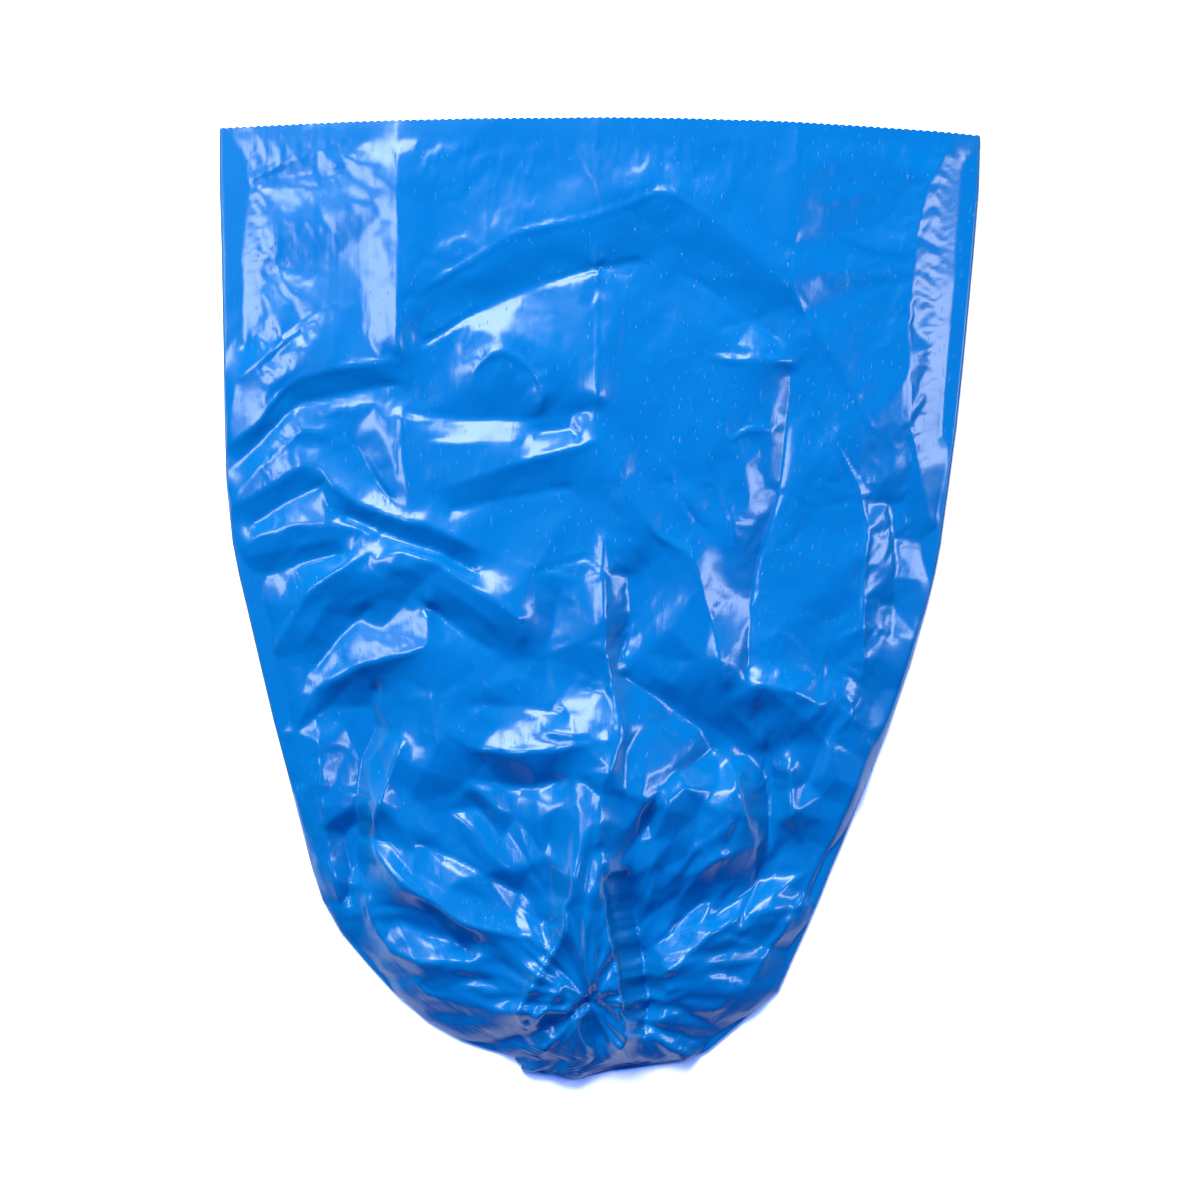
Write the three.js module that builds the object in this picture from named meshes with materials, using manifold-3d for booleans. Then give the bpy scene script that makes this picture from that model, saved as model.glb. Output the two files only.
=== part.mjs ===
// A bin liner of thin blown film, taken off its roll, unfolded and laid down on its side.
// The film is one tube, torn off open at the mouth and gathered into a star seal at the tail.
// Millimetres, +Z up. +Y points out of the mouth, and the lower film lies on Z = 0.

import * as THREE from "three";
import { mergeVertices } from "three/addons/utils/BufferGeometryUtils.js";
import Module from "manifold-3d";

const wasm = await Module();
wasm.setup();

// The bag.
const MOUTH_WIDTH = 610; // flat width of the tube, from one side fold to the other
const LYING_LENGTH = 768; // mouth to tail as it lies, with its gathers drawn up
const FILM_WALL = 1.5; // stands for the 0.03 mm film
const MOUTH_BOW_LEFT = 6; // how far the left corner of the mouth lies behind its middle
const MOUTH_BOW_RIGHT = 12; // and the right corner
const SIDE_FOLD_HEIGHT = 3 * FILM_WALL; // where the upper film turns into the lower one
const SIDE_SWELL = 2.6; // how squarely the film swells between its side folds, 2 being a parabola
const SEAL_LENGTH = 62; // the gathers at the tail, which lie too close to leave a hollow
const MOUTH_OVERRUN = 6; // the hollow's cutter runs this far out of the mouth

// The torn end of the gathered tail, which sticks out from under the gathers.
const TAIL_TAB_WIDTH = 24;
const TAIL_TAB_LENGTH = 30;
const TAIL_TAB_THICKNESS = 7;
const TAIL_TAB_OFFSET = -54; // from the centre line to its middle
const TAIL_TAB_END_GAP = 4; // from the tail's lowest point up to the tab's end
const TAIL_TAB_NOTCHES = 3;
const TAIL_TAB_NOTCH_DEPTH = 3;

// The crown line: how high the upper film stands over the floor, as [share of the length, height].
const CROWN = [
  [0.0, 14],
  [0.2, 17],
  [0.4, 21],
  [0.6, 26],
  [0.8, 30],
  [0.92, 26],
  [0.97, 15],
  [1.0, 7],
];

// The sides: [share of the length, left reach, right reach], the reaches as shares of half the mouth.
const SIDES = [
  [0.0, 1.0, 1.0],
  [0.19, 0.995, 0.968],
  [0.31, 0.987, 0.937],
  [0.44, 0.966, 0.895],
  [0.56, 0.895, 0.816],
  [0.69, 0.816, 0.703],
  [0.81, 0.73, 0.575],
  [0.845, 0.684, 0.539],
  [0.876, 0.618, 0.503],
  [0.908, 0.545, 0.468],
  [0.94, 0.455, 0.376],
  [0.97, 0.297, 0.284],
  [0.981, 0.2, 0.229],
  [0.991, 0.11, 0.04],
  [1.0, 0.08, -0.03],
];

// The main folds. Each is a route of [share of the mouth's width from the centre line, share of the
// length from the mouth, rise over the film's general lie as a share of FOLD_RISE]. The film is
// stretched over them: it falls back to its general lie over about the reach, more closely at the tail.
const FOLD_RISE = 10;
const FOLD_REACH_AT_MOUTH = 34;
const FOLD_REACH_AT_TAIL = 15;
const FOLDS = [
  // Creases from the roll.
  [[-0.264, 0, 0.3], [-0.264, 0.08, 0.6], [-0.264, 0.24, 0.7]],
  [[-0.26, 0.305, 0.3], [-0.248, 0.396, 0.5]],
  [[-0.225, 0.482, 0.65], [-0.223, 0.542, 0.75], [-0.22, 0.594, 0.55], [-0.21, 0.651, 0.7]],
  [[0, 0, 0.2], [0, 0.175, 0.15], [0, 0.2, 0.5], [0, 0.3, 0.75]],
  [[0.259, 0.01, 0.3], [0.254, 0.134, 0.45], [0.25, 0.176, 0.6]],
  [[0.248, 0.26, 0], [0.241, 0.333, -0.3], [0.207, 0.458, -0.5], [0.193, 0.575, -0.55]],
  // The long ridge below the mouth, with its peak, and the hollow under it.
  [[-0.26, 0.191, 0.4], [-0.11, 0.12, 0.4], [0.084, 0.076, 0.6], [0.169, 0.118, 0.45], [0.25, 0.18, 0.6]],
  [[0.25, 0.18, 0.5], [0.33, 0.287, 0.55], [0.356, 0.324, 0.6]],
  [[-0.23, 0.233, -0.25], [-0.09, 0.176, -0.3], [0.05, 0.147, -0.25]],
  // Folds that run in from the left side fold.
  [[-0.474, 0.271, 0.4], [-0.415, 0.232, 0.7], [-0.37, 0.207, 0.5]],
  [[-0.269, 0.251, 0.55], [-0.392, 0.27, 0.6], [-0.449, 0.318, 0.5], [-0.49, 0.34, 0.25]],
  [[-0.344, 0.323, 0.25], [-0.39, 0.326, 0.35], [-0.444, 0.362, 0.45], [-0.485, 0.402, 0.25]],
  [[-0.366, 0.358, 0.35], [-0.313, 0.401, 0.65], [-0.23, 0.42, 0.75], [-0.16, 0.448, 0.5]],
  [[-0.47, 0.448, 0.3], [-0.395, 0.422, 0.5], [-0.323, 0.423, 0.5], [-0.29, 0.428, 0.35]],
  [[-0.298, 0.45, 0.4], [-0.336, 0.466, 0.7], [-0.382, 0.493, 0.75], [-0.423, 0.547, 0.65]],
  [[-0.29, 0.461, 0.5], [-0.236, 0.45, 0.85], [-0.157, 0.49, 0.9], [-0.105, 0.518, 0.95]],
  [[-0.359, 0.586, 0.35], [-0.311, 0.568, 0.8], [-0.249, 0.556, 0.95], [-0.223, 0.546, 0.85]],
  // Folds of the middle.
  [[-0.21, 0.385, 0.4], [-0.157, 0.371, 0.5], [-0.079, 0.352, 0.55], [-0.003, 0.336, 0.55]],
  [[0, 0.336, 0.5], [0.026, 0.378, 0.7], [0.072, 0.432, 0.8], [0.149, 0.531, 0.8], [0.164, 0.589, 0.55]],
  [[0.002, 0.435, 0.6], [0.005, 0.5, 0.9], [0.008, 0.5625, 1.1], [0.026, 0.642, 1.45]],
  [[0.026, 0.642, 1.45], [-0.052, 0.652, 1.15], [-0.164, 0.654, 0.9], [-0.195, 0.639, 0.6]],
  [[0.026, 0.642, 1.45], [0.003, 0.686, 1.3], [-0.003, 0.753, 1.3]],
  [[0.005, 0.689, 1.2], [0.079, 0.71, 0.6], [0.152, 0.736, 0.4]],
  [[0.03, 0.578, -0.3], [0.066, 0.596, -0.7], [0.131, 0.633, -0.85], [0.105, 0.677, -0.6]],
  // The right side.
  [[0.147, 0.25, 0.4], [0.221, 0.253, 0.65]],
  [[0.455, 0.03, 0.35], [0.428, 0.072, 0.5], [0.403, 0.217, 0.65], [0.405, 0.313, 0.65], [0.439, 0.427, 0.3]],
  [[0.275, 0.307, 0.4], [0.336, 0.38, 0.6], [0.351, 0.427, 0.65], [0.344, 0.542, 0.65], [0.343, 0.587, 0.55]],
  [[0.2, 0.586, 0.45], [0.249, 0.594, 0.8], [0.287, 0.608, 0.85], [0.27, 0.625, 0.55]],
  [[0.316, 0.596, 0.75], [0.326, 0.604, 0.85], [0.336, 0.659, 0.6]],
  [[0.218, 0.651, -1.15], [0.223, 0.7, -1.4], [0.221, 0.751, -1.4], [0.205, 0.798, -1.1], [0.184, 0.832, -0.8]],
  [[0.169, 0.669, 0.7], [0.184, 0.704, 0.8], [0.203, 0.733, 0.6]],
  [[0.246, 0.669, 0.8], [0.2475, 0.721, 0.8], [0.266, 0.749, 0.6]],
  [[0.357, 0.646, 0.5], [0.31, 0.741, 0.6], [0.259, 0.819, 0.6]],
  [[0.252, 0.829, 0.5], [0.216, 0.868, 0.7], [0.19, 0.902, 0.6]],
  // The left side, lower down.
  [[-0.292, 0.589, -0.65], [-0.308, 0.635, -0.95], [-0.316, 0.689, -1], [-0.321, 0.746, -0.8], [-0.33, 0.814, -0.4]],
  [[-0.257, 0.648, 0.75], [-0.279, 0.694, 0.9], [-0.297, 0.732, 0.7]],
  [[-0.374, 0.604, 0.35], [-0.366, 0.667, 0.6], [-0.356, 0.762, 0.6], [-0.339, 0.814, 0.5]],
  [[-0.3, 0.753, 0.7], [-0.264, 0.783, 1.1], [-0.223, 0.806, 1.2], [-0.157, 0.836, 1.3], [-0.069, 0.866, 1.2]],
  [[-0.303, 0.806, 0.6], [-0.272, 0.865, 0.9], [-0.23, 0.874, 0.9], [-0.161, 0.87, 0.9], [-0.121, 0.866, 0.7]],
  [[-0.236, 0.751, -0.3], [-0.17, 0.773, -0.35], [-0.098, 0.805, -0.3]],
  // The gathers of the seal, and the rays that run out from them.
  [[-0.033, 0.772, 1], [-0.048, 0.803, 1.5], [-0.049, 0.845, 1.8], [-0.092, 0.902, 1.6], [-0.118, 0.927, 1.3]],
  [[0.005, 0.762, 1.4], [0.016, 0.798, 1.7], [0.023, 0.835, 1.9], [0.039, 0.918, 1.8], [0.03, 0.958, 1.3]],
  [[0.065, 0.8, -1], [0.08, 0.866, -1.2], [0.085, 0.918, -0.9]],
  [[-0.092, 0.956, 0.6], [-0.052, 0.96, 0.8], [-0.03, 0.983, 0.3]],
  [[0.1, 0.902, 0.6], [0.131, 0.887, 0.8], [0.177, 0.895, 0.6]],
  [[0.121, 0.751, 0.6], [0.144, 0.768, 0.8], [0.166, 0.762, 0.7]],
];

// The grid that the film is drawn on.
const COLUMNS = 34; // across the upper film
const FLOOR_COLUMNS = 5; // across the lower film
const UPPER_ROWS = 25; // down to where the sides start to close in
const LOWER_ROWS = 22; // from there to the tail
const CLOSING_SHARE = 0.72; // the share of the length where the rows get closer
const LEAST_HEIGHT = 2; // the least that the upper film stands above its side folds
const FOLD_EDGE = 14; // how far in from the side folds the main folds have their full rise
const UNDER_ROLL = 12; // how far in from the side folds the lower film meets the floor

const clamp = THREE.MathUtils.clamp;
const lerp = THREE.MathUtils.lerp;

// A smooth curve through rows of [position, value, ...], read at any position.
function curveThrough(rows) {
  const positions = new Float32Array(rows.map((row) => row[0]));
  const values = new Float32Array(rows.flatMap((row) => row.slice(1)));
  const curve = new THREE.CubicInterpolant(positions, values, rows[0].length - 1);
  return (at) => Array.from(curve.evaluate(clamp(at, 0, 1)));
}

const crownAt = curveThrough(CROWN);
const sidesAt = curveThrough(SIDES);

// The nearest place on a fold's route: how far away it is, and the fold's rise there, in millimetres.
function nearestOnRoute(x, down, route) {
  const point = new THREE.Vector3(x, down, 0);
  const nearest = new THREE.Vector3();
  const leg = new THREE.Line3();
  const found = { distance: Infinity, rise: 0 };
  for (let i = 1; i < route.length; i++) {
    leg.start.set(route[i - 1][0] * MOUTH_WIDTH, route[i - 1][1] * LYING_LENGTH, 0);
    leg.end.set(route[i][0] * MOUTH_WIDTH, route[i][1] * LYING_LENGTH, 0);
    const along = leg.closestPointToPointParameter(point, true);
    const distance = leg.at(along, nearest).distanceTo(point);
    if (distance < found.distance) {
      found.distance = distance;
      found.rise = lerp(route[i - 1][2], route[i][2], along) * FOLD_RISE;
    }
  }
  return found;
}

// What the folds add to the film's height at a place, each the less the farther it is.
function foldsAt(x, down) {
  const reach = lerp(FOLD_REACH_AT_MOUTH, FOLD_REACH_AT_TAIL, down / LYING_LENGTH);
  let lift = 0;
  let hold = 0;
  for (const route of FOLDS) {
    const { distance, rise } = nearestOnRoute(x, down, route);
    const near = Math.exp(-distance / reach);
    lift += rise * near * near;
    hold += near * near;
  }
  return lift / Math.max(hold, Math.sqrt(hold), 1e-6);
}

// The share of the length that each row of the grid lies at.
function rowShares() {
  const shares = [];
  for (let row = 0; row <= UPPER_ROWS; row++) shares.push((CLOSING_SHARE * row) / UPPER_ROWS);
  for (let row = 1; row <= LOWER_ROWS; row++) {
    shares.push(CLOSING_SHARE + ((1 - CLOSING_SHARE) * row) / LOWER_ROWS);
  }
  return shares;
}

// One row of the film: its closed section from the left side fold over the top and back below.
// inset is the wall that the hollow leaves, or 0 for the outside.
function sectionOf(share, inset) {
  const [left, right] = sidesAt(share).map((reach) => (reach * MOUTH_WIDTH) / 2);
  const [crown] = crownAt(share);
  const width = left + right;
  const down = share * LYING_LENGTH;
  const foldHeight = SIDE_FOLD_HEIGHT;
  const swell = (x) => 1 - Math.abs((2 * x + left - right) / width) ** SIDE_SWELL;
  const bow = (x) => {
    const corner = x < 0 ? MOUTH_BOW_LEFT * (x / left) ** 2 : MOUTH_BOW_RIGHT * (x / right) ** 2;
    return corner * (1 - share);
  };
  const place = (x, z) => new THREE.Vector3(x, LYING_LENGTH / 2 - down - bow(x), z);
  const across = (column, count) => {
    const spread = 0.5 - 0.5 * Math.cos((Math.PI * column) / count);
    const even = column / count;
    const x = lerp(-left, right, lerp(even, spread, 0.35));
    return clamp(x, -left + inset * 2, right - inset * 2);
  };
  const points = [];
  for (let column = 0; column <= COLUMNS; column++) {
    const x = across(column, COLUMNS);
    const lie = lerp(foldHeight, Math.max(crown, foldHeight), swell(x));
    const folded = foldsAt(x, down) * Math.min(Math.min(x + left, right - x) / FOLD_EDGE, 1);
    const outside = Math.max(lie + folded, foldHeight + LEAST_HEIGHT * swell(x));
    const atEdge = column === 0 || column === COLUMNS;
    points.push(place(x, atEdge ? Math.max(foldHeight, inset * 2) - inset : Math.max(outside - inset, inset * 2)));
  }
  const under = Math.min(UNDER_ROLL, width / 4);
  for (let column = FLOOR_COLUMNS; column >= 0; column--) {
    points.push(place(lerp(-left + under, right - under, column / FLOOR_COLUMNS), inset));
  }
  return points;
}

// A closed solid lofted through the sections, with a flat cap at each end.
function loft(sections) {
  const count = sections[0].length;
  const positions = sections.flat().flatMap((point) => point.toArray());
  const faces = [];
  for (let row = 1; row < sections.length; row++) {
    for (let i = 0; i < count; i++) {
      const next = (i + 1) % count;
      const a = (row - 1) * count + i;
      const b = (row - 1) * count + next;
      const c = row * count + i;
      const d = row * count + next;
      faces.push(a, c, b, b, c, d);
    }
  }
  for (const [row, turned] of [[0, false], [sections.length - 1, true]]) {
    const contour = sections[row].map((point) => new THREE.Vector2(point.x, point.z));
    for (const [a, b, c] of THREE.ShapeUtils.triangulateShape(contour, [])) {
      const corners = [a, b, c].map((corner) => corner + row * count);
      faces.push(...(turned ? corners : corners.reverse()));
    }
  }
  const geometry = new THREE.BufferGeometry();
  geometry.setAttribute("position", new THREE.Float32BufferAttribute(positions, 3));
  geometry.setIndex(faces);
  return geometry;
}

// A three.js geometry as a manifold-3d solid.
function solidOf(geometry) {
  const bare = geometry.clone();
  bare.deleteAttribute("normal");
  bare.deleteAttribute("uv");
  const merged = mergeVertices(bare, 1e-4);
  const mesh = new wasm.Mesh({
    numProp: 3,
    vertProperties: new Float32Array(merged.attributes.position.array),
    triVerts: new Uint32Array(merged.index.array),
  });
  return new wasm.Manifold(mesh);
}

// A manifold-3d solid back as a three.js geometry.
function geometryOf(solid) {
  const mesh = solid.getMesh();
  const geometry = new THREE.BufferGeometry();
  geometry.setAttribute("position", new THREE.BufferAttribute(mesh.vertProperties, 3));
  geometry.setIndex(new THREE.BufferAttribute(mesh.triVerts, 1));
  geometry.computeVertexNormals();
  return geometry;
}

// The film's outside, from the mouth to the tail.
function outerSolid() {
  return solidOf(loft(rowShares().map((share) => sectionOf(share, 0))));
}

// The hollow inside, from past the mouth to where the gathers close it.
function hollowSolid() {
  const last = 1 - SEAL_LENGTH / LYING_LENGTH;
  const sections = rowShares()
    .filter((share) => share <= last)
    .map((share) => sectionOf(share, FILM_WALL));
  const pastMouth = sections[0].map((point) => point.clone().add(new THREE.Vector3(0, MOUTH_OVERRUN, 0)));
  return solidOf(loft([pastMouth, ...sections]));
}

// The torn, notched end of the tail.
function tailTabSolid() {
  const half = TAIL_TAB_WIDTH / 2;
  const end = -LYING_LENGTH / 2 + TAIL_TAB_END_GAP;
  const shape = new THREE.Shape();
  shape.moveTo(half, end + TAIL_TAB_LENGTH);
  shape.lineTo(-half, end + TAIL_TAB_LENGTH);
  const pitch = TAIL_TAB_WIDTH / TAIL_TAB_NOTCHES;
  for (let notch = 0; notch < TAIL_TAB_NOTCHES; notch++) {
    shape.lineTo(-half + notch * pitch, end + TAIL_TAB_NOTCH_DEPTH);
    shape.lineTo(-half + (notch + 0.5) * pitch, end);
  }
  shape.lineTo(half, end + TAIL_TAB_NOTCH_DEPTH);
  const tab = new THREE.ExtrudeGeometry(shape, { depth: TAIL_TAB_THICKNESS, bevelEnabled: false });
  tab.translate(TAIL_TAB_OFFSET, 0, 0);
  return solidOf(tab);
}

function filmMaterial() {
  return new THREE.MeshStandardMaterial({ color: 0x0a78e0, roughness: 0.22, metalness: 0 });
}

const film = outerSolid().add(tailTabSolid()).subtract(hollowSolid());
const linerFilm = new THREE.Mesh(geometryOf(film), filmMaterial());
linerFilm.name = "liner_film";

const liner = new THREE.Group();
liner.add(linerFilm);

export default liner;
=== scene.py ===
"""A can liner of thin blue film, lying rumpled on a pale floor and seen from straight above."""

import logging
import math
from dataclasses import dataclass, field
from enum import Enum

import bmesh
import bpy
import numpy as np
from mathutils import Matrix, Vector
from mathutils.geometry import delaunay_2d_cdt

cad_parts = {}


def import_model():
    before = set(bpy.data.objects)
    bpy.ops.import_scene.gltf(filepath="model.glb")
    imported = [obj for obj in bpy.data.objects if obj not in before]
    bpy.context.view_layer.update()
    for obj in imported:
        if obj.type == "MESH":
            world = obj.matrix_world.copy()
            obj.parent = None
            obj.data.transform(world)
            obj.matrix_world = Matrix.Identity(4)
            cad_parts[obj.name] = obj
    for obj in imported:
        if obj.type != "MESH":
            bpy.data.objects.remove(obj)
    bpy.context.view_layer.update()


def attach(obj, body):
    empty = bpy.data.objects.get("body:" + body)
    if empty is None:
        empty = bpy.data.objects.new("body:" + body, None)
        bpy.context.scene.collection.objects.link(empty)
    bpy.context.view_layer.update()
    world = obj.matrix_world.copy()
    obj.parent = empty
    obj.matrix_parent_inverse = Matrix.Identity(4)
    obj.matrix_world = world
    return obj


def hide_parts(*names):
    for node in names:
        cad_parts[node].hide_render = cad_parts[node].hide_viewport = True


log = logging.getLogger("liner")

MM = 0.001
Route = tuple[tuple[float, float, float], ...]


def smooth(value: np.ndarray) -> np.ndarray:
    """Eases a value from 0 to 1 with no kink at either end."""
    value = np.clip(value, 0.0, 1.0)
    return value * value * (3.0 - 2.0 * value)


@dataclass(frozen=True)
class Lattice:
    """Smooth seeded noise over the plane, from 0 to 1.

    cell is the size of one swell across and along, and start is where the noise is entered, in swells.
    """

    seed: int
    cell: tuple[float, float]
    start: tuple[float, float]
    size: int = 96

    def at(self, x: np.ndarray, y: np.ndarray) -> np.ndarray:
        """Reads the noise.

        Args:
            x: Places across.
            y: Places along.

        Returns:
            The noise at each place.
        """
        knots = np.random.default_rng(self.seed).random((self.size, self.size))
        x, y = x / self.cell[0] + self.start[0], y / self.cell[1] + self.start[1]
        column, row = np.floor(x).astype(int), np.floor(y).astype(int)
        across, along = smooth(x - column), smooth(y - row)
        column, row = column % self.size, row % self.size
        right, below = (column + 1) % self.size, (row + 1) % self.size
        near = knots[row, column] * (1 - across) + knots[row, right] * across
        far = knots[below, column] * (1 - across) + knots[below, right] * across
        return near * (1 - along) + far * along


def ridged(noise: np.ndarray) -> np.ndarray:
    """Turns smooth noise into sharp crests, which run where it passes its middle, from 0 to 1."""
    return 1.0 - np.abs(2.0 * noise - 1.0)


def read_grid(raster: np.ndarray, column: np.ndarray, row: np.ndarray) -> np.ndarray:
    """Reads a raster between its cells.

    Args:
        raster: The raster.
        column: Places across, in cells.
        row: Places down, in cells.

    Returns:
        The value at each place.
    """
    column = np.clip(column, 0, raster.shape[1] - 1.001)
    row = np.clip(row, 0, raster.shape[0] - 1.001)
    i, j = column.astype(int), row.astype(int)
    a, b = column - i, row - j
    upper = raster[j, i] * (1 - a) + raster[j, i + 1] * a
    lower = raster[j + 1, i] * (1 - a) + raster[j + 1, i + 1] * a
    return upper * (1 - b) + lower * b


@dataclass(frozen=True)
class Fold:
    """One fold or hollow of the film.

    route holds its points as millimetres right of the centre line, millimetres down from the mouth,
    and how far the film stands there above (or, negative, below) its general lie. loose_end is how
    many millimetres of each end are held less and less firmly, down to least_hold.
    """

    name: str
    route: Route
    loose_end: float = 8.0
    least_hold: float = 0.08

    def points(self, step: float) -> np.ndarray:
        """Spreads points along the route.

        Args:
            step: Spacing of the points in millimetres.

        Returns:
            Rows of across, down, rise and how firmly the film is held there, from 0 to 1.
        """
        rows = [np.array(self.route[0], dtype=float)]
        for start, end in zip(self.route, self.route[1:]):
            start, end = np.array(start, dtype=float), np.array(end, dtype=float)
            count = max(1, round(math.hypot(*(end - start)[:2]) / step))
            rows += [start + (end - start) * (i / count) for i in range(1, count + 1)]
        rows = np.array(rows)
        run = np.concatenate([[0.0], np.cumsum(np.hypot(*np.diff(rows[:, :2], axis=0).T))])
        firm = np.clip(np.minimum(run, run[-1] - run) / self.loose_end, self.least_hold, 1.0)
        return np.column_stack([rows, firm])


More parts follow.
